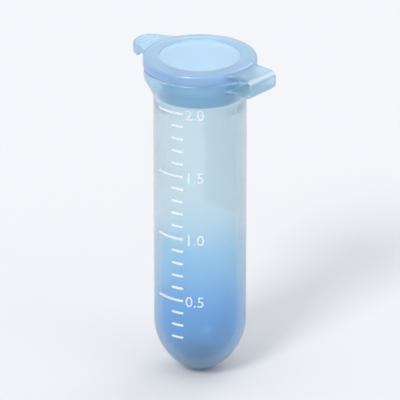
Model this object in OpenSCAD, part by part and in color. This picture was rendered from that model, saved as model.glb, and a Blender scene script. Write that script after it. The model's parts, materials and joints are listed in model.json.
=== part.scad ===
// Microcentrifuge tube, 2 mL, round bottom, with an attached snap cap.
// Millimetres. The tube hangs mouth up: +Z is up and the tube's axis is the Z axis.
// The origin is on that axis, at the top of the plain round body, just below the rim.
// The hinge is on the +X side and the thumb tab on the -X side. The lid is drawn closed.

/* [Tube body] */
// Outside diameter of the plain round body
body_d = 10.8; // [10.4:0.1:11]
// Length from the top of the plain body to the tip of the round bottom
body_len = 35; // [30:0.5:38]
// Wall thickness of the body and the bottom
wall = 0.9; // [0.7:0.05:1]
// Radius of the bottom's shoulders, larger than the body's own radius
shoulder_r = 7; // [6.4:0.1:8]
// Radius of the bottom's tip
tip_r = 3.6; // [3:0.1:4]

/* [Rim] */
// Outside diameter of the rim
rim_d = 13; // [12.6:0.1:13.4]
// Height of the rim above the plain body
rim_h = 3.4; // [3.2:0.1:4]
// Height of the flare from the body out to the rim
flare_h = 2.2; // [1.8:0.1:2.2]
// Diameter of the seat that the lid's plug closes
seat_d = 9.4; // [9.3:0.05:9.5]
// How far the seat reaches below the top of the plain body
seat_below = 0.3; // [0.2:0.1:0.6]

/* [Lid] */
// Diameter of the lid's plate
lid_d = 13.2; // [12.8:0.1:13.6]
// Thickness of the lid's plate
lid_t = 1.3; // [1.2:0.1:1.5]
// Diameter of the shallow recess on top, for a marker pen or a label dot
label_d = 9.6; // [8:0.2:10]
// Depth of that recess
label_depth = 0.15; // [0.1:0.05:0.3]
// Length of the sealing plug below the lid's plate
plug_len = 3.3; // [2.8:0.1:3.4]
// Diameter over the plug's sealing bead
bead_d = 9.24; // [9.1:0.02:9.26]
// Thickness of the plug's wall
plug_wall = 0.7; // [0.5:0.05:0.8]

/* [Thumb tab] */
// Width of the thumb tab
tab_w = 4.6; // [4:0.2:6]
// How far the tab stands out from the lid's edge
tab_reach = 2.8; // [2.4:0.1:3.4]
// Thickness of the tab
tab_t = 0.85; // [0.7:0.05:1]
// Number of grip ridges across the tab
tab_ridges = 3; // [1:1:3]

/* [Hinge] */
// Distance from the tube's axis to the two fold lines
fold_x = 9.3; // [9:0.1:10]
// Height of the strap's middle panel, from one fold line to the other
fold_gap = 1.9; // [1.7:0.1:2]
// Width of the hinge strap
strap_w = 4.4; // [3.6:0.2:5]
// Thickness of the hinge strap
strap_t = 0.5; // [0.4:0.05:0.5]
// Running clearance between the middle panel and each leaf at a fold
fold_clear = 0.03; // [0.02:0.01:0.05]

/* [Markings] */
// Volumes marked on the body, in cubic millimetres
mark_volumes = [500, 1000, 1500, 2000]; // [100:100:2000]
// Length of each graduation mark
mark_w = 3.6; // [2:0.2:5]
// Height of each graduation mark
mark_h = 0.3; // [0.2:0.05:0.5]
// How far the markings stand out from the body
mark_proud = 0.1; // [0.05:0.01:0.12]
// Width of the frosted writing panel
panel_w = 6.4; // [4:0.2:8]
// Height of the frosted writing panel
panel_h = 13; // [8:1:16]
// How far below the top of the plain body the writing panel starts
panel_drop = 3; // [2:0.5:6]

/* [Hidden] */
$fn = 96;

body_r = body_d / 2;
bore_r = body_r - wall;
seat_r = seat_d / 2;
rim_r = rim_d / 2;
lid_r = lid_d / 2;
bead_r = bead_d / 2;

// The bottom's two arcs meet smoothly at this angle below the horizontal
arc_steps = 8;
join_angle = acos((shoulder_r - body_r) / (shoulder_r - tip_r));
tip_drop = (shoulder_r - tip_r) * sin(join_angle);
bottom_z = -body_len;
straight_z = bottom_z + tip_drop + tip_r;

// The step from the plug's seat down to the bore
seat_z = -seat_below;
step_z = seat_z - 2 * (seat_r - bore_r);

// The mouth is bevelled so that the plug finds its way in
mouth_r = seat_r + 0.35;
mouth_bevel = 0.8;
rim_bevel = 0.15;

// The lid lies on the rim's top face
lid_z = rim_h;
lid_top = lid_z + lid_t;
lid_edge_r = 0.35;
lid_bevel = 0.15;

// The plug, from the lid's underside down
plug_tip_z = lid_z - plug_len;
bead_z = lid_z - 1.1;
bead_round = 0.8;
bead_spread = 35;
plug_root_r = bead_r - 0.12;
plug_toe_r = bead_r - 0.37;
plug_toe_z = plug_tip_z + 0.2;
plug_toe_bevel = 0.2;

// The folds lie evenly above and below the face where lid and rim meet
lower_fold_z = lid_z - fold_gap / 2;
upper_fold_z = lid_z + fold_gap / 2;
leaf_end_x = fold_x - strap_t / 2 - fold_clear;

// The thumb tab hangs a small lip below its round end
tab_tip_x = lid_r + tab_reach;
tab_z = lid_top - 0.1 - tab_t;
lip_w = 0.5;
lip_h = 0.5;
ridge_w = 0.3;
ridge_h = 0.1;
ridge_pitch = 0.7;

pp_blue = [0.55, 0.75, 0.94];
pp_blue_deep = [0.40, 0.64, 0.90];
pp_blue_pale = [0.74, 0.87, 0.97];
pp_frosted = [0.82, 0.90, 0.96];

// Points along an arc about centre c, from angle a0 to angle a1
function arc(c, r, a0, a1) =
    [for (i = [0:arc_steps]) let (a = a0 + (a1 - a0) * i / arc_steps) [c[0] + r * cos(a), c[1] + r * sin(a)]];

// The bottom's profile, set in from the outside by t, from its top edge to its tip
function bottom_profile(t) =
    concat(arc([body_r - shoulder_r, straight_z], shoulder_r - t, 0, -join_angle),
           arc([0, bottom_z + tip_r], tip_r - t, -join_angle, -90));

// A list of points in the opposite order
function backwards(points) = [for (i = [len(points) - 1:-1:0]) points[i]];

// Volume swept by turning one step of a profile about the Z axis
function slice_volume(p, q) =
    PI * (p[1] - q[1]) * (p[0] * p[0] + p[0] * q[0] + q[0] * q[0]) / 3;

// Volume that the profile holds, from step i to its end
function held_volume(points, i = 0) =
    i >= len(points) - 1 ? 0 : slice_volume(points[i], points[i + 1]) + held_volume(points, i + 1);

// Height of the liquid's surface in the straight bore for a volume v
function level_z(v) = straight_z + (v - held_volume(bottom_profile(wall))) / (PI * bore_r * bore_r);

// Straight round wall of the tube, with the lower end of the plug's seat
module barrel() {
    color(pp_blue)
        rotate_extrude()
            polygon([[body_r, 0], [seat_r, 0], [seat_r, seat_z], [bore_r, step_z],
                     [bore_r, straight_z], [body_r, straight_z]]);
}

// Round, slightly pointed closed end
module round_bottom() {
    color(pp_blue_deep)
        rotate_extrude()
            polygon(concat(bottom_profile(0), backwards(bottom_profile(wall))));
}

// Outline of the rim, turned about the Z axis
module rim_flange() {
    color(pp_blue_deep)
        rotate_extrude()
            polygon([[seat_r, 0], [body_r, 0], [rim_r, flare_h], [rim_r, rim_h - rim_bevel],
                     [rim_r - rim_bevel, rim_h], [mouth_r, rim_h], [seat_r, rim_h - mouth_bevel]]);
}

// Lid's disc, with a rounded top edge, before the label recess
module lid_disc() {
    rotate_extrude()
        polygon(concat([[0, lid_top], [0, lid_z], [lid_r - lid_bevel, lid_z], [lid_r, lid_z + lid_bevel]],
                       arc([lid_r - lid_edge_r, lid_top - lid_edge_r], lid_edge_r, 0, 90)));
}

// Round plate of the lid
module lid_plate() {
    color(pp_blue_deep)
        difference() {
            lid_disc();
            translate([0, 0, lid_top - label_depth])
                cylinder(d = label_d, h = 2 * label_depth);
        }
}

// Hollow plug under the lid, with the bead that seals against the seat
module sealing_plug() {
    color(pp_blue_deep)
        rotate_extrude()
            polygon(concat([[plug_root_r - plug_wall, lid_z],
                            [plug_toe_r - plug_wall, plug_tip_z],
                            [plug_toe_r - plug_toe_bevel, plug_tip_z],
                            [plug_toe_r, plug_toe_z]],
                           arc([bead_r - bead_round, bead_z], bead_round, -bead_spread, bead_spread),
                           [[plug_root_r, lid_z]]));
}

// Plan of the thumb tab, set in from its edge by t
module tab_plan(t) {
    round_x = tab_tip_x - tab_w / 2;
    translate([-round_x, 0])
        circle(d = tab_w - 2 * t);
    translate([-round_x, t - tab_w / 2])
        square([round_x, tab_w - 2 * t]);
}

// Thumb tab with a lip under its end and ridges on top
module thumb_tab() {
    color(pp_blue_deep)
        difference() {
            union() {
                translate([0, 0, tab_z])
                    linear_extrude(tab_t)
                        tab_plan(0);
                translate([0, 0, tab_z - lip_h])
                    linear_extrude(2 * lip_h)
                        difference() {
                            tab_plan(0);
                            tab_plan(lip_w);
                            translate([-lid_r - tab_reach / 2, -tab_w])
                                square(2 * tab_w);
                        }
                for (i = [0:tab_ridges - 1])
                    translate([-tab_tip_x + 0.6 + i * ridge_pitch, -tab_w / 4, tab_z])
                        cube([ridge_w, tab_w / 2, tab_t + ridge_h]);
            }
            lid_disc();
        }
}

// A flat leaf of the strap at a fold's height, reaching in to the tube's axis
module leaf_blank(fold_z) {
    translate([0, -strap_w / 2, fold_z - strap_t / 2])
        cube([leaf_end_x, strap_w, strap_t]);
}

// Leaf of the strap that grows out of the rim
module hinge_lower_leaf() {
    color(pp_blue_pale)
        difference() {
            leaf_blank(lower_fold_z);
            cylinder(r = rim_r, h = 2 * rim_h);
        }
}

// Leaf of the strap that grows out of the lid
module hinge_upper_leaf() {
    color(pp_blue_pale)
        difference() {
            leaf_blank(upper_fold_z);
            lid_disc();
        }
}

// Middle panel of the strap, round at both fold lines
module hinge_middle_panel() {
    color(pp_blue_pale)
        translate([fold_x, strap_w / 2, 0])
            rotate([90, 0, 0])
                linear_extrude(strap_w) {
                    translate([0, lower_fold_z])
                        circle(d = strap_t);
                    translate([0, upper_fold_z])
                        circle(d = strap_t);
                    translate([-strap_t / 2, lower_fold_z])
                        square([strap_t, fold_gap]);
                }
}

// A thin raised patch on the body, w wide and h high, with its lower edge at z, on the -Y side
module raised_patch(w, h, z, proud) {
    intersection() {
        translate([0, 0, z])
            difference() {
                cylinder(r = body_r + proud, h = h);
                translate([0, 0, -h])
                    cylinder(r = body_r, h = 3 * h);
            }
        translate([-w / 2, -2 * body_r, z - h])
            cube([w, 2 * body_r, 3 * h]);
    }
}

// Graduation marks at the marked volumes
module graduation_marks() {
    color(pp_frosted)
        for (v = mark_volumes)
            raised_patch(mark_w, mark_h, level_z(v) - mark_h / 2, mark_proud);
}

// Frosted writing panel, on the side away from the graduations
module writing_panel() {
    color(pp_frosted)
        rotate([0, 0, 180])
            raised_patch(panel_w, panel_h, -panel_drop - panel_h, mark_proud / 2);
}

barrel();
round_bottom();
rim_flange();
hinge_lower_leaf();
hinge_middle_panel();
hinge_upper_leaf();
lid_plate();
sealing_plug();
thumb_tab();
graduation_marks();
writing_panel();
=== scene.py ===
"""Looks of a 2 mL microcentrifuge tube with a snap lid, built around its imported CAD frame.

Metres, in the frame's own axes: the tube's axis is Z, the hinge is on +X and the thumb tab on -X.
The real tube is one moulding of translucent polypropylene. Light runs through it without a break, so
the barrel, bottom and rim are one turned shell here, and the lid's plate and plug are another.
"""
import json
import math

import bmesh
import bpy
import numpy as np
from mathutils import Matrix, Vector


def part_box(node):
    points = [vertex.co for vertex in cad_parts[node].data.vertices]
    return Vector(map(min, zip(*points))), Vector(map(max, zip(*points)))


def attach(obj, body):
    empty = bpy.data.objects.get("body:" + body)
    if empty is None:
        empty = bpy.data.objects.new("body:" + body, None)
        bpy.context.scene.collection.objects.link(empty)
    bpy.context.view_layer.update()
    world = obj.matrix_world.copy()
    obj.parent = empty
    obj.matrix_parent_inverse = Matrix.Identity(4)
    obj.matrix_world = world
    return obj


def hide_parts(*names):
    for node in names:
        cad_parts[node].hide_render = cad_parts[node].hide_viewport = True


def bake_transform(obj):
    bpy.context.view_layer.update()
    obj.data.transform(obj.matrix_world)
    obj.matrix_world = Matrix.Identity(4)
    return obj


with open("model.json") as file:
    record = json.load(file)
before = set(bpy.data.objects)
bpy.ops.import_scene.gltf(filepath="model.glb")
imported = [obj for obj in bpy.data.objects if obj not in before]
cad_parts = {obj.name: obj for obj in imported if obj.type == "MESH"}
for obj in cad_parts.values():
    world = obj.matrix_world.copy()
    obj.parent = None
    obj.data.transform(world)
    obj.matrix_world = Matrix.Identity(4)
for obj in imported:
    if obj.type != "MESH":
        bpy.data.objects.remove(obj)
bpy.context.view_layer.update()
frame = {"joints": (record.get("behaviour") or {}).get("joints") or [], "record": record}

MM = 0.001

# ---------------------------------------------------------------- driving dimensions

body_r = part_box("barrel")[1].x
rim_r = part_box("rim_flange")[1].x
rim_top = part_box("rim_flange")[1].z
tip_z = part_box("round_bottom")[0].z
straight_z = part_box("round_bottom")[1].z
lid_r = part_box("lid_plate")[1].x
lid_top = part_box("lid_plate")[1].z
plug_tip_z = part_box("sealing_plug")[0].z
bead_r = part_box("sealing_plug")[1].x
tab_low, tab_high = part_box("thumb_tab")
mounts = {m["name"]: m for m in frame["record"]["mounts"]}
bore_r = mounts["sample_bore"]["dims"]["r_mm"] * MM
label_z = mounts["label_face"]["pos_m"][2]
folds = {j["name"]: Vector(j["pos_m"]) for j in frame["joints"]}

# Tube: the closed end is a tip arc and a shoulder arc, and the plug's seat ends in a step to the bore
WALL = body_r - bore_r
SHOULDER_R = 7 * MM
TIP_R = 3.6 * MM
ARC_JOIN = math.acos((SHOULDER_R - body_r) / (SHOULDER_R - TIP_R))
FLARE_H = 2.2 * MM
SEAT_R = 4.7 * MM
SEAT_FOOT_Z = -0.1 * MM
BORE_TOP_Z = -1.5 * MM
BEVEL_W = 0.35 * MM
BEVEL_H = 0.8 * MM

# Lid: its plug is narrower above and below the sealing bead
LABEL_R = 4.8 * MM
LID_EDGE_R = 0.4 * MM
PLUG_WALL = 0.7 * MM
PLUG_NECK_R = bead_r - 0.12 * MM
PLUG_TOE_R = bead_r - 0.37 * MM
BEAD_DROP = 1.1 * MM

# Joins: rim and lid have a slit between them, and the roots of tab and strap start inside a round wall
MEETING_EDGE_R = 0.22 * MM
SLIT = 0.03 * MM
ROOT_DEPTH = 0.12 * MM
ROOT_LENGTH = 1.2 * MM
ROOT_FLARE_LENGTH = 0.5 * MM

# Markings: x is measured round the barrel, proud is outwards from the wall, and a gap is left under them
MARK_H = 0.26 * MM
MARK_CORNER_R = 0.1 * MM
MARK_RIGHT_X = 1.8 * MM
MARK_PROUD = 0.1 * MM
LONG_MARK_W = 3.6 * MM
SHORT_MARK_W = 1.5 * MM
NUMERAL_H = 1.3 * MM
NUMERAL_SHARE = 0.7  # a numeral's height, as a share of its font's size
NUMERAL_RIGHT_X = 4.3 * MM
NUMERAL_PROUD = 0.08 * MM
PANEL_PROUD = 0.05 * MM
PANEL_CORNER_R = 0.8 * MM
WALL_GAP = 0.01 * MM
TENTH_ML = 1e-7  # in cubic metres

# Hinge strap, which is thinner at its folds and wider at its roots
STRAP_T = 0.5 * MM
FOLD_T = 0.3 * MM
STRAP_W = 4.4 * MM
BEND_R = 0.5 * MM
STRAP_FLARE = 0.5 * MM

# Thumb tab, with three grip ridges across it and a lip under its end
TAB_T = 0.75 * MM
TAB_EDGE_R = 0.25 * MM
TAB_END_ROUND = 0.4 * MM
TAB_FLARE = 0.6 * MM
RIDGES = 3
RIDGE_H = 0.1 * MM
RIDGE_HALF_W = 0.16 * MM
RIDGE_REACH = 1.4 * MM
RIDGE_START = 0.6 * MM
RIDGE_PITCH = 0.7 * MM
LIP_W = 0.65 * MM


# ---------------------------------------------------------------- mesh helpers


def mesh_piece(name, points, faces, material):
    """A smooth-shaded mesh object made of points and faces, with its faces all turned outwards."""
    mesh = bpy.data.meshes.new(name)
    mesh.from_pydata([tuple(p) for p in points], [], faces)
    shape = bmesh.new()
    shape.from_mesh(mesh)
    bmesh.ops.remove_doubles(shape, verts=shape.verts, dist=0.1e-3 * MM)
    bmesh.ops.recalc_face_normals(shape, faces=shape.faces)
    shape.to_mesh(mesh)
    shape.free()
    mesh.shade_smooth()
    mesh.set_sharp_from_angle(angle=math.radians(45))
    mesh.materials.append(material)
    piece = bpy.data.objects.new(name, mesh)
    bpy.context.scene.collection.objects.link(piece)
    weighted = piece.modifiers.new("flats_stay_flat", "WEIGHTED_NORMAL")
    weighted.keep_sharp = True
    return piece


def arc(centre, radius, start, end, steps):
    """Points along an arc, with angles in radians from the first axis."""
    return [
        (centre[0] + radius * math.cos(a), centre[1] + radius * math.sin(a))
        for a in np.linspace(start, end, steps + 1)
    ]


def smooth(x):
    """0 below 0, 1 above 1, and a soft step between."""
    x = min(1.0, max(0.0, x))
    return x * x * (3 - 2 * x)


def rounded(corners, steps=6):
    """The outline through corners, each given as (x, y, radius), with its corners rounded."""
    outline = []
    for i, (x, y, radius) in enumerate(corners):
        here = Vector((x, y))
        if radius == 0 or i in (0, len(corners) - 1):
            outline.append((x, y))
            continue
        back = Vector(corners[i - 1][:2]) - here
        on = Vector(corners[i + 1][:2]) - here
        half = back.angle(on) / 2
        reach = min(radius / math.tan(half), 0.49 * back.length, 0.49 * on.length)
        start = here + back.normalized() * reach
        end = here + on.normalized() * reach
        middle = here + (back.normalized() + on.normalized()).normalized() * reach / math.cos(half)
        sweep = math.pi - 2 * half
        first = start - middle
        turn = math.copysign(sweep, first.cross(end - middle))
        for k in range(steps + 1):
            a = turn * k / steps
            outline.append((
                middle.x + first.x * math.cos(a) - first.y * math.sin(a),
                middle.y + first.x * math.sin(a) + first.y * math.cos(a),
            ))
    return outline


def turned(name, profile, material, turns=192):
    """A closed solid of revolution, from a profile of (radius, height) that starts and ends on the axis."""
    ring = profile[1:-1]
    points = [(0, 0, profile[0][1]), (0, 0, profile[-1][1])]
    for r, z in ring:
        for k in range(turns):
            a = 2 * math.pi * k / turns
            points.append((r * math.cos(a), r * math.sin(a), z))

    def at(i, k):
        return 2 + i * turns + k % turns

    faces = []
    for k in range(turns):
        faces.append((0, at(0, k + 1), at(0, k)))
        faces.append((1, at(len(ring) - 1, k), at(len(ring) - 1, k + 1)))
        for i in range(len(ring) - 1):
            faces.append((at(i, k), at(i, k + 1), at(i + 1, k + 1), at(i + 1, k)))
    return mesh_piece(name, points, faces, material)


# ---------------------------------------------------------------- materials

PALE = (0.89, 0.985, 1.0, 1)
MEDIUM = (0.66, 0.90, 1.0, 1)
SKY = (0.61, 0.86, 1.0, 1)
BRIGHT = (0.37, 0.66, 0.97, 1)
# Painted shade: the two deepest blues darken the tube's tip, where its contact shadow falls
PAINTED_LOW_SHADE = (0.38, 0.60, 0.78, 1)
PAINTED_TIP_SHADE = (0.32, 0.50, 0.70, 1)
STRAP = (0.56, 0.84, 0.98, 1)
FROST = (0.95, 0.98, 1.0, 1)
DEPTH_TINT = (0.0, 0.56, 0.96, 1)
CLOUD_SCALE = 180.0
SKIN_SCALE = 2600.0
LABEL_ROUGH, LABEL_CLEAR = 0.7, 0.5
FOLD_ROUGH, FOLD_CLEAR, FOLD_SATURATION = 0.55, 0.55, 0.3


def add(tree, kind, **inputs):
    """A shader node of that kind, with its inputs set by name."""
    node = tree.nodes.new(kind)
    for name, value in inputs.items():
        socket = node.inputs[name.replace("_", " ")]
        if isinstance(value, bpy.types.NodeSocket):
            tree.links.new(value, socket)
        else:
            socket.default_value = value
    return node


def spread(tree, value, low, high, start=0.0, end=1.0):
    """A value that goes from start to end, as one that goes from low to high."""
    node = add(
        tree, "ShaderNodeMapRange", Value=value, From_Min=start, From_Max=end, To_Min=low, To_Max=high
    )
    return node.outputs[0]


def polypropylene(name, tints, milk, roughness, density=0, ior=1.49, label=False, folds_whiten=False):
    """Translucent polypropylene.

    tints are (height, colour) pairs from low to high, milk is the share of light that scatters at the
    surface, and density is how fast the depth of the plastic takes light out, per metre. With label,
    the round recess in the lid's top is frosted. With folds_whiten, the mesh's fold attribute says
    where bending has whitened the plastic.
    """
    material = bpy.data.materials.new(name)
    material.use_nodes = True
    tree = material.node_tree
    tree.nodes.clear()
    place = add(tree, "ShaderNodeTexCoord").outputs["Object"]
    parts = add(tree, "ShaderNodeSeparateXYZ", Vector=place)
    low, high = tints[0][0], tints[-1][0]
    ramp = tree.nodes.new("ShaderNodeValToRGB")
    ramp.color_ramp.interpolation = "EASE"
    while len(ramp.color_ramp.elements) < len(tints):
        ramp.color_ramp.elements.new(0.5)
    for stop, (z, colour) in zip(ramp.color_ramp.elements, tints):
        stop.position = (z - low) / (high - low)
        stop.color = colour
    tree.links.new(spread(tree, parts.outputs["Z"], 0, 1, low, high), ramp.inputs[0])

    cloud = add(tree, "ShaderNodeTexNoise", Vector=place, Scale=CLOUD_SCALE, Detail=3.0, Roughness=0.55)
    skin = add(tree, "ShaderNodeTexNoise", Vector=place, Scale=SKIN_SCALE, Detail=2.0, Roughness=0.5)
    bump = add(tree, "ShaderNodeBump", Strength=0.35, Distance=0.01 * MM, Height=skin.outputs["Fac"])
    rough = spread(tree, cloud.outputs["Fac"], roughness * 0.75, roughness * 1.25)
    clear = spread(tree, cloud.outputs["Fac"], 1 - milk * 1.3, 1 - milk * 0.7)
    if label:
        flat = add(tree, "ShaderNodeCombineXYZ", X=parts.outputs["X"], Y=parts.outputs["Y"])
        away = add(tree, "ShaderNodeVectorMath", Vector=flat.outputs[0])
        away.operation = "LENGTH"
        inside = spread(tree, away.outputs["Value"], 1, 0, LABEL_R - 0.25 * MM, LABEL_R - 0.1 * MM)
        above = spread(tree, parts.outputs["Z"], 0, 1, label_z - 0.2 * MM, label_z - 0.1 * MM)
        on_label = add(tree, "ShaderNodeMath", Value=inside)
        on_label.operation = "MULTIPLY"
        tree.links.new(above, on_label.inputs[1])
        frosted = on_label.outputs[0]
        rough = add(tree, "ShaderNodeMix", Factor=frosted, A=rough, B=LABEL_ROUGH).outputs[0]
        clear = add(tree, "ShaderNodeMix", Factor=frosted, A=clear, B=LABEL_CLEAR).outputs[0]
    shade = spread(tree, cloud.outputs["Fac"], 0.975, 1.0)
    tint = add(tree, "ShaderNodeHueSaturation", Color=ramp.outputs["Color"], Value=shade)
    if folds_whiten:
        fold = tree.nodes.new("ShaderNodeAttribute")
        fold.attribute_name = "fold"
        bent = fold.outputs["Fac"]
        faded = spread(tree, bent, 1, FOLD_SATURATION)
        tint = add(tree, "ShaderNodeHueSaturation", Color=tint.outputs[0], Saturation=faded)
        clear = add(tree, "ShaderNodeMix", Factor=bent, A=clear, B=FOLD_CLEAR).outputs[0]
        rough = add(tree, "ShaderNodeMix", Factor=bent, A=rough, B=FOLD_ROUGH).outputs[0]
    plastic = add(
        tree,
        "ShaderNodeBsdfPrincipled",
        Base_Color=tint.outputs[0],
        IOR=ior,
        Roughness=rough,
        Transmission_Weight=clear,
        Coat_Weight=0.4,
        Coat_Roughness=0.08,
        Normal=bump.outputs["Normal"],
    )
    out = tree.nodes.new("ShaderNodeOutputMaterial")
    tree.links.new(plastic.outputs[0], out.inputs["Surface"])
    if density:
        depth = add(tree, "ShaderNodeVolumeAbsorption", Color=DEPTH_TINT, Density=density)
        tree.links.new(depth.outputs[0], out.inputs["Volume"])
    return material


def unseen(name):
    """For a face inside the plastic, where one piece carries on into the next."""
    material = bpy.data.materials.new(name)
    material.use_nodes = True
    tree = material.node_tree
    tree.nodes.clear()
    clear = add(tree, "ShaderNodeBsdfTransparent", Color=(1, 1, 1, 1))
    out = tree.nodes.new("ShaderNodeOutputMaterial")
    tree.links.new(clear.outputs[0], out.inputs["Surface"])
    return material


# The wall's tints up the tube: painted contact shade at the tip, a deeper blue towards the bottom, pale
# above and medium blue on the rim
tube_tints_and_painted_shade = [
    (tip_z, PAINTED_TIP_SHADE),
    (tip_z + 2.5 * MM, PAINTED_LOW_SHADE),
    (tip_z + 7 * MM, BRIGHT),
    (tip_z + 15 * MM, SKY),
    (tip_z + 21 * MM, PALE),
    (-1 * MM, PALE),
    (1 * MM, MEDIUM),
]
lid_tints = [(plug_tip_z, MEDIUM), (lid_top, MEDIUM)]
strap_tints = [(0, STRAP), (lid_top, STRAP)]
frost_tints = [(tip_z, FROST), (0, FROST)]
# The wall's plastic carries the painted tip shade in its tints
wall_plastic_and_painted_shade = polypropylene("wall_plastic_and_painted_shade", tube_tints_and_painted_shade, milk=0.12, roughness=0.22, density=60)
lid_plastic = polypropylene("lid_plastic", lid_tints, milk=0.29, roughness=0.3, density=260, label=True)
strap_plastic = polypropylene("strap_plastic", strap_tints, milk=0.12, roughness=0.3, folds_whiten=True)
mark_plastic = polypropylene("mark_plastic", frost_tints, milk=0.5, roughness=0.5, ior=1.2)
panel_plastic = polypropylene("panel_plastic", frost_tints, milk=0.14, roughness=0.5, ior=1.1)
inner_face = unseen("inner_face")

# ---------------------------------------------------------------- tube


def bottom_arcs(inset):
    """The closed end's profile, inset from the outside, from its tip up to the straight wall."""
    tip = arc((0, tip_z + TIP_R), TIP_R - inset, -math.pi / 2, -ARC_JOIN, 14)
    shoulder = arc((body_r - SHOULDER_R, straight_z), SHOULDER_R - inset, -ARC_JOIN, 0, 18)
    return tip + shoulder[1:]


def tube_shell():
    """Barrel, round bottom and rim as one turned shell."""
    rim_corners = [
        (body_r, straight_z, 0),
        (body_r, 0, 2.2 * MM),
        (rim_r, FLARE_H, 0.7 * MM),
        (rim_r, rim_top - SLIT, MEETING_EDGE_R),
        (SEAT_R + BEVEL_W, rim_top - SLIT, 0.3 * MM),
        (SEAT_R, rim_top - BEVEL_H, 0.8 * MM),
        (SEAT_R, SEAT_FOOT_Z, 0.6 * MM),
        (bore_r, BORE_TOP_Z, 0.6 * MM),
        (bore_r, straight_z, 0),
    ]
    profile = bottom_arcs(0)[:-1] + rounded(rim_corners, 8)
    profile += bottom_arcs(WALL)[:-1][::-1]
    shell = turned("tube_shell", profile, wall_plastic_and_painted_shade)
    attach(shell, "tube")
    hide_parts("barrel", "round_bottom", "rim_flange")


def lid_cap():
    """Lid's plate and hollow plug as one turned solid."""
    low = rim_top + SLIT
    bead_z = rim_top - BEAD_DROP
    corners = [
        (0, label_z, 0),
        (LABEL_R - 0.1 * MM, label_z, 0.15 * MM),
        (LABEL_R, lid_top, 0.1 * MM),
        (lid_r, lid_top, LID_EDGE_R),
        (lid_r, low, MEETING_EDGE_R),
        (PLUG_NECK_R, low, 0.15 * MM),
        (PLUG_NECK_R, bead_z + 0.6 * MM, 0.3 * MM),
        (bead_r, bead_z + 0.1 * MM, 0.5 * MM),
        (bead_r - 0.04 * MM, bead_z - 0.4 * MM, 0.5 * MM),
        (PLUG_TOE_R, plug_tip_z + 0.25 * MM, 0.3 * MM),
        (PLUG_TOE_R - 0.3 * MM, plug_tip_z, 0.18 * MM),
        (PLUG_TOE_R - PLUG_WALL, plug_tip_z, 0.18 * MM),
        (PLUG_NECK_R - PLUG_WALL, low, 0.5 * MM),
        (0, low, 0),
    ]
    cap = turned("lid_cap", rounded(corners, 6), lid_plastic)
    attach(cap, "lid")
    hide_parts("lid_plate", "sealing_plug")


# ---------------------------------------------------------------- marks on the wall


def wrapped(x, z, r, facing):
    """The point at distance x round the barrel's wall, height z and radius r.

    facing is -1 or 1, for the -Y or +Y side.
    """
    a = x / body_r
    return (r * math.sin(a), facing * r * math.cos(a), z)


def patch(centre_x, centre_z, width, height, corner, proud, facing):
    """Points and faces of a thin plate with round corners on the barrel's wall."""
    bends = [math.sin(a) for a in np.linspace(-math.pi / 2, 0, 6)]
    ends = [-width / 2 + corner + corner * b for b in bends]
    across = ends + list(np.linspace(ends[-1], -ends[-1], 14)[1:-1]) + [-x for x in ends[::-1]]
    points, faces = [], []
    for x in across:
        over = max(0.0, abs(x) - (width / 2 - corner))
        half = height / 2 - corner + math.sqrt(max(0.0, corner ** 2 - over ** 2))
        low_r, high_r = body_r + WALL_GAP, body_r + proud
        for z, r in ((-half, low_r), (half, low_r), (half, high_r), (-half, high_r)):
            points.append(wrapped(centre_x + x, centre_z + z, r, facing))
    for i in range(len(across) - 1):
        for k in range(4):
            j = (k + 1) % 4
            faces.append((4 * i + k, 4 * i + j, 4 * i + 4 + j, 4 * i + 4 + k))
    last = 4 * (len(across) - 1)
    faces.append((3, 2, 1, 0))
    faces.append((last, last + 1, last + 2, last + 3))
    return points, faces


def numeral(words, right_x, centre_z, height, proud):
    """Points and faces of raised numerals that end at right_x on the barrel's -Y side."""
    curve = bpy.data.curves.new("numeral", "FONT")
    curve.body = words
    curve.size = height / NUMERAL_SHARE
    curve.align_x = "RIGHT"
    curve.extrude = (proud - WALL_GAP) / 2
    curve.resolution_u = 4
    holder = bpy.data.objects.new("numeral", curve)
    bpy.context.scene.collection.objects.link(holder)
    bpy.context.view_layer.update()
    depsgraph = bpy.context.evaluated_depsgraph_get()
    mesh = bpy.data.meshes.new_from_object(holder.evaluated_get(depsgraph))
    middle_r = body_r + WALL_GAP + curve.extrude
    points = [
        wrapped(right_x + v.co.x, centre_z + v.co.y - height / 2, middle_r + v.co.z, -1)
        for v in mesh.vertices
    ]
    faces = [tuple(f.vertices) for f in mesh.polygons]
    bpy.data.objects.remove(holder)
    return points, faces


def joined(pieces):
    """Several lots of points and faces as one."""
    points, faces = [], []
    for more, sides in pieces:
        faces += [tuple(i + len(points) for i in side) for side in sides]
        points += more
    return points, faces


def fill_height(volume):
    """Height of the bore's surface when it holds that volume, in cubic metres."""
    inner_tip = TIP_R - WALL
    inner_shoulder = SHOULDER_R - WALL
    z, held, step = tip_z + WALL, 0.0, 0.005 * MM
    join_z = straight_z - inner_shoulder * math.sin(ARC_JOIN)
    while held < volume:
        if z < join_z:
            r = math.sqrt(max(0.0, inner_tip ** 2 - (z - tip_z - TIP_R) ** 2))
        elif z < straight_z:
            r = body_r - SHOULDER_R + math.sqrt(inner_shoulder ** 2 - (straight_z - z) ** 2)
        else:
            r = bore_r
        held += math.pi * r * r * step
        z += step
    return z


def graduations():
    """Graduation marks with their numerals, a long mark each 0.5 mL and short ones between."""
    lots = []
    for tenth in range(2, 21):
        z = fill_height(tenth * TENTH_ML)
        main = tenth % 5 == 0
        width = LONG_MARK_W if main else SHORT_MARK_W
        middle_x = MARK_RIGHT_X - width / 2
        lots.append(patch(middle_x, z, width, MARK_H, MARK_CORNER_R, MARK_PROUD, -1))
        if main:
            lots.append(numeral(f"{tenth / 10:.1f}", NUMERAL_RIGHT_X, z, NUMERAL_H, NUMERAL_PROUD))
    marks = mesh_piece("graduation_marks_raised", *joined(lots), mark_plastic)
    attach(marks, "tube")
    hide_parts("graduation_marks")


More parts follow.
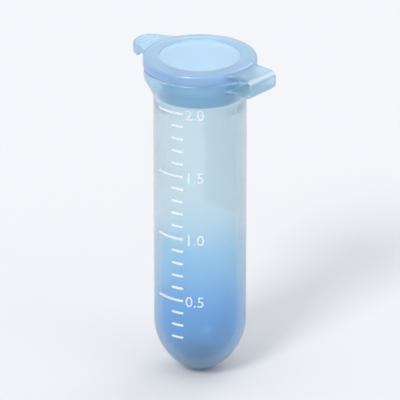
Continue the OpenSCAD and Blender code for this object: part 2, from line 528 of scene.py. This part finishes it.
def writing_panel():
    """Frosted panel to write on."""
    low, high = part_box("writing_panel")
    width, height = high.x - low.x, high.z - low.z
    lot = patch(0, (low.z + high.z) / 2, width, height, PANEL_CORNER_R, PANEL_PROUD, 1)
    panel = mesh_piece("writing_panel_frost", *lot, panel_plastic)
    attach(panel, "tube")
    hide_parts("writing_panel")


# ---------------------------------------------------------------- hinge strap


def strap_half(name, body_a, body_b, fold, root_r, end_z, nodes):
    """Half of the hinge strap, with a fold attribute that is 1 at the fold line and 0 away from it.

    It goes from its root in a round wall of radius root_r, round its fold, to the strap's middle at
    end_z, where the other half carries on.
    """
    up = math.copysign(1, end_z - fold.z)
    centre = (fold.x - BEND_R, fold.z + up * BEND_R)
    line = [(x, fold.z, 0.0) for x in np.linspace(root_r, centre[0], 20)[:-1]]
    for a in np.linspace(0, math.pi / 2, 21):
        line.append((centre[0] + BEND_R * math.sin(a), centre[1] - up * BEND_R * math.cos(a), a))
    line += [(fold.x, z, math.pi / 2) for z in np.linspace(centre[1], end_z, 6)[1:]]
    around = strap_section(10)
    points, faces = [], []
    for x, z, a in line:
        from_root = x - root_r
        flare = STRAP_FLARE * math.exp(-((from_root / ROOT_FLARE_LENGTH) ** 2))
        from_fold = min(1.0, abs(a - math.pi / 4) / (math.pi / 4))
        thick = FOLD_T + (STRAP_T - FOLD_T) * smooth(from_fold)
        follow = max(0.0, 1 - from_root / ROOT_LENGTH)
        for side, face in around:
            y = side * (STRAP_W / 2 + flare)
            n = face * thick / 2
            round_wall = (math.sqrt(root_r ** 2 - y * y) - root_r) * follow
            points.append((x + round_wall - n * math.sin(a), y, z + up * n * math.cos(a)))
    count = len(around)
    for i in range(len(line) - 1):
        for k in range(count):
            j = (k + 1) % count
            faces.append((i * count + k, i * count + j, (i + 1) * count + j, (i + 1) * count + k))
    last = (len(line) - 1) * count
    faces.append(tuple(range(count)))
    faces.append(tuple(range(last, last + count)))
    half = mesh_piece(name, points, faces, strap_plastic)
    half.data.materials.append(inner_face)
    for face in half.data.polygons:
        face.material_index = int(len(face.vertices) == count)
    start = Vector((centre[0], 0, fold.z))
    end = Vector((fold.x, 0, centre[1]))
    bent = half.data.attributes.new("fold", "FLOAT", "POINT")
    for point, value in zip(half.data.vertices, bent.data):
        t = (point.co - start).dot(end - start) / (end - start).length_squared
        value.value = max(0.0, 4 * t * (1 - t))
    # On the lid's half, the two bodies and the fold's ends change places
    if body_a == "lid":
        body_a, body_b, start, end = body_b, body_a, end, start
    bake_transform(half)
    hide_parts(*nodes)


def strap_section(steps):
    """The strap's cross-section as points (side, face), each from -1 to 1, with its edges rounded."""
    edge = 0.1
    half_turn = np.linspace(-math.pi / 2, math.pi / 2, steps)
    right = [(1 - edge + edge * math.cos(a), math.sin(a)) for a in half_turn]
    left = [(-side, -face) for side, face in right]
    flat = np.linspace(-1 + edge, 1 - edge, 9)[1:-1]
    return right + [(side, 1.0) for side in flat[::-1]] + left + [(side, -1.0) for side in flat]


# ---------------------------------------------------------------- thumb tab


def thumb_tab():
    """Thumb tab: a slab with a round end, grip ridges on top and a lip under its end."""
    tip = -tab_low.x
    half_w = tab_high.y
    root_r = lid_r - ROOT_DEPTH
    slab_top = tab_high.z - RIDGE_H
    slab_low = slab_top - TAB_T
    lip = slab_low - tab_low.z
    end_x = tip - half_w
    columns = [math.sin(math.pi / 2 * t) for t in np.linspace(-1, 1, 33)]
    rows = list(np.linspace(root_r, tip - TAB_END_ROUND, 46))
    rows += [tip - TAB_END_ROUND * (1 - b) for b in np.sin(np.linspace(0, math.pi / 2, 14))[1:-1]]
    rows.append(tip - 0.001 * MM)  # just short of the tip, where the round end still has a width
    tops, lows = [], []
    for x in rows:
        past = max(0.0, x - end_x)
        flare = TAB_FLARE * math.exp(-(((x - root_r) / ROOT_FLARE_LENGTH) ** 2))
        half = math.sqrt(half_w ** 2 - past ** 2) + flare
        for u in columns:
            y = u * half
            to_edge = half_w + flare - math.hypot(past, y)
            short = min(TAB_EDGE_R, max(0.0, TAB_EDGE_R - to_edge))
            drop = TAB_EDGE_R - math.sqrt(TAB_EDGE_R ** 2 - short ** 2)
            across = smooth((RIDGE_REACH - abs(y)) / (0.3 * MM))
            ridges = 0.0
            for i in range(RIDGES):
                from_ridge = (x - (tip - RIDGE_START - RIDGE_PITCH * i)) / RIDGE_HALF_W
                ridges += RIDGE_H * math.exp(-(from_ridge ** 2)) * across
            near_end = smooth((x - end_x) / (0.6 * MM))
            under = lip * smooth((LIP_W - to_edge) / (0.2 * MM)) * near_end
            follow = max(0.0, 1 - (x - root_r) / ROOT_LENGTH)
            round_lid = (math.sqrt(root_r ** 2 - y * y) - root_r) * follow
            tops.append((-x - round_lid, y, slab_top + ridges - drop))
            lows.append((-x - round_lid, y, slab_low - under + drop))
    faces = []
    wide, lower = len(columns), len(tops)
    for i in range(len(rows) - 1):
        for k in range(wide - 1):
            a, b = i * wide + k, (i + 1) * wide + k
            faces.append((a, a + 1, b + 1, b))
            faces.append((lower + a, lower + b, lower + b + 1, lower + a + 1))
        for k in (0, wide - 1):
            a, b = i * wide + k, (i + 1) * wide + k
            faces.append((a, b, lower + b, lower + a))
    for i in (0, len(rows) - 1):
        for k in range(wide - 1):
            a = i * wide + k
            faces.append((a, a + 1, lower + a + 1, lower + a))
    tab = mesh_piece("thumb_tab_grip", tops + lows, faces, lid_plastic)
    tab.data.materials.append(inner_face)
    for face in tab.data.polygons:
        reach = max(math.hypot(*tab.data.vertices[i].co.xy) for i in face.vertices)
        face.material_index = int(reach < root_r + SLIT)
    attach(tab, "lid")
    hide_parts("thumb_tab")


tube_shell()
lid_cap()
thumb_tab()
rim_nodes = ["hinge_lower_leaf", "hinge_middle_panel"]
lid_nodes = ["hinge_upper_leaf", "hinge_middle_panel"]
strap_half("strap_rim_half", "tube", "strap", folds["lower_fold"], rim_r - SLIT, rim_top, rim_nodes)
strap_half("strap_lid_half", "lid", "strap", folds["upper_fold"], lid_r - ROOT_DEPTH, rim_top, lid_nodes)
graduations()
writing_panel()

# ---------------------------------------------------------------- studio


def studio():
    """Matt pale floor, soft lights and the camera."""
    bpy.ops.mesh.primitive_plane_add(size=2, location=(0, 0, tip_z))
    floor = bpy.context.object
    floor.name = "floor"
    paint = bpy.data.materials.new("floor_paint")
    paint.use_nodes = True
    shader = paint.node_tree.nodes["Principled BSDF"]
    shader.inputs["Base Color"].default_value = (0.67, 0.67, 0.675, 1)
    shader.inputs["Specular IOR Level"].default_value = 0
    floor.data.materials.append(paint)

    world = bpy.data.worlds.new("studio")
    bpy.context.scene.world = world
    world.use_nodes = True
    world.node_tree.nodes["Background"].inputs["Color"].default_value = (0.93, 0.95, 1.0, 1)
    world.node_tree.nodes["Background"].inputs["Strength"].default_value = 0.97

    middle = Vector((0, 0, (tip_z + lid_top) / 2))
    view_azimuth, view_elevation = 40, 24
    view_distance, view_width, view_rise = 0.6, 46.5 * MM, 1.6 * MM

    def towards(azimuth, elevation):
        """The direction from the tube at that azimuth and elevation, in degrees."""
        a, e = math.radians(azimuth), math.radians(elevation)
        return Vector((math.sin(a) * math.cos(e), -math.cos(a) * math.cos(e), math.sin(e)))

    def soft_sun(name, turn, elevation, size, strength):
        """A distant light of that size in degrees, turned so far round the tube from the camera."""
        light = bpy.data.lights.new(name, "SUN")
        light.angle = math.radians(size)
        light.energy = strength
        lamp = bpy.data.objects.new(name, light)
        away = towards(view_azimuth + turn, elevation)
        lamp.location = middle + away * view_distance
        lamp.rotation_euler = (-away).to_track_quat("-Z", "Y").to_euler()
        bpy.context.scene.collection.objects.link(lamp)

    soft_sun("key_light", -32, 42, 18, 1.5)
    soft_sun("fill_light", 55, 35, 30, 0.2)
    soft_sun("back_light", 145, 40, 35, 0.5)

    camera = bpy.data.objects.new("camera", bpy.data.cameras.new("camera"))
    camera.data.lens = camera.data.sensor_width * view_distance / view_width
    away = towards(view_azimuth, view_elevation)
    camera.location = middle + Vector((0, 0, view_rise)) + away * view_distance
    camera.rotation_euler = (-away).to_track_quat("-Z", "Y").to_euler()
    bpy.context.scene.collection.objects.link(camera)
    bpy.context.scene.camera = camera
    bpy.context.scene.view_settings.view_transform = "Standard"
    bpy.context.scene.cycles.max_bounces = 32
    bpy.context.scene.cycles.transmission_bounces = 32
    bpy.context.scene.cycles.glossy_bounces = 16
    bpy.context.scene.cycles.diffuse_bounces = 8


studio()
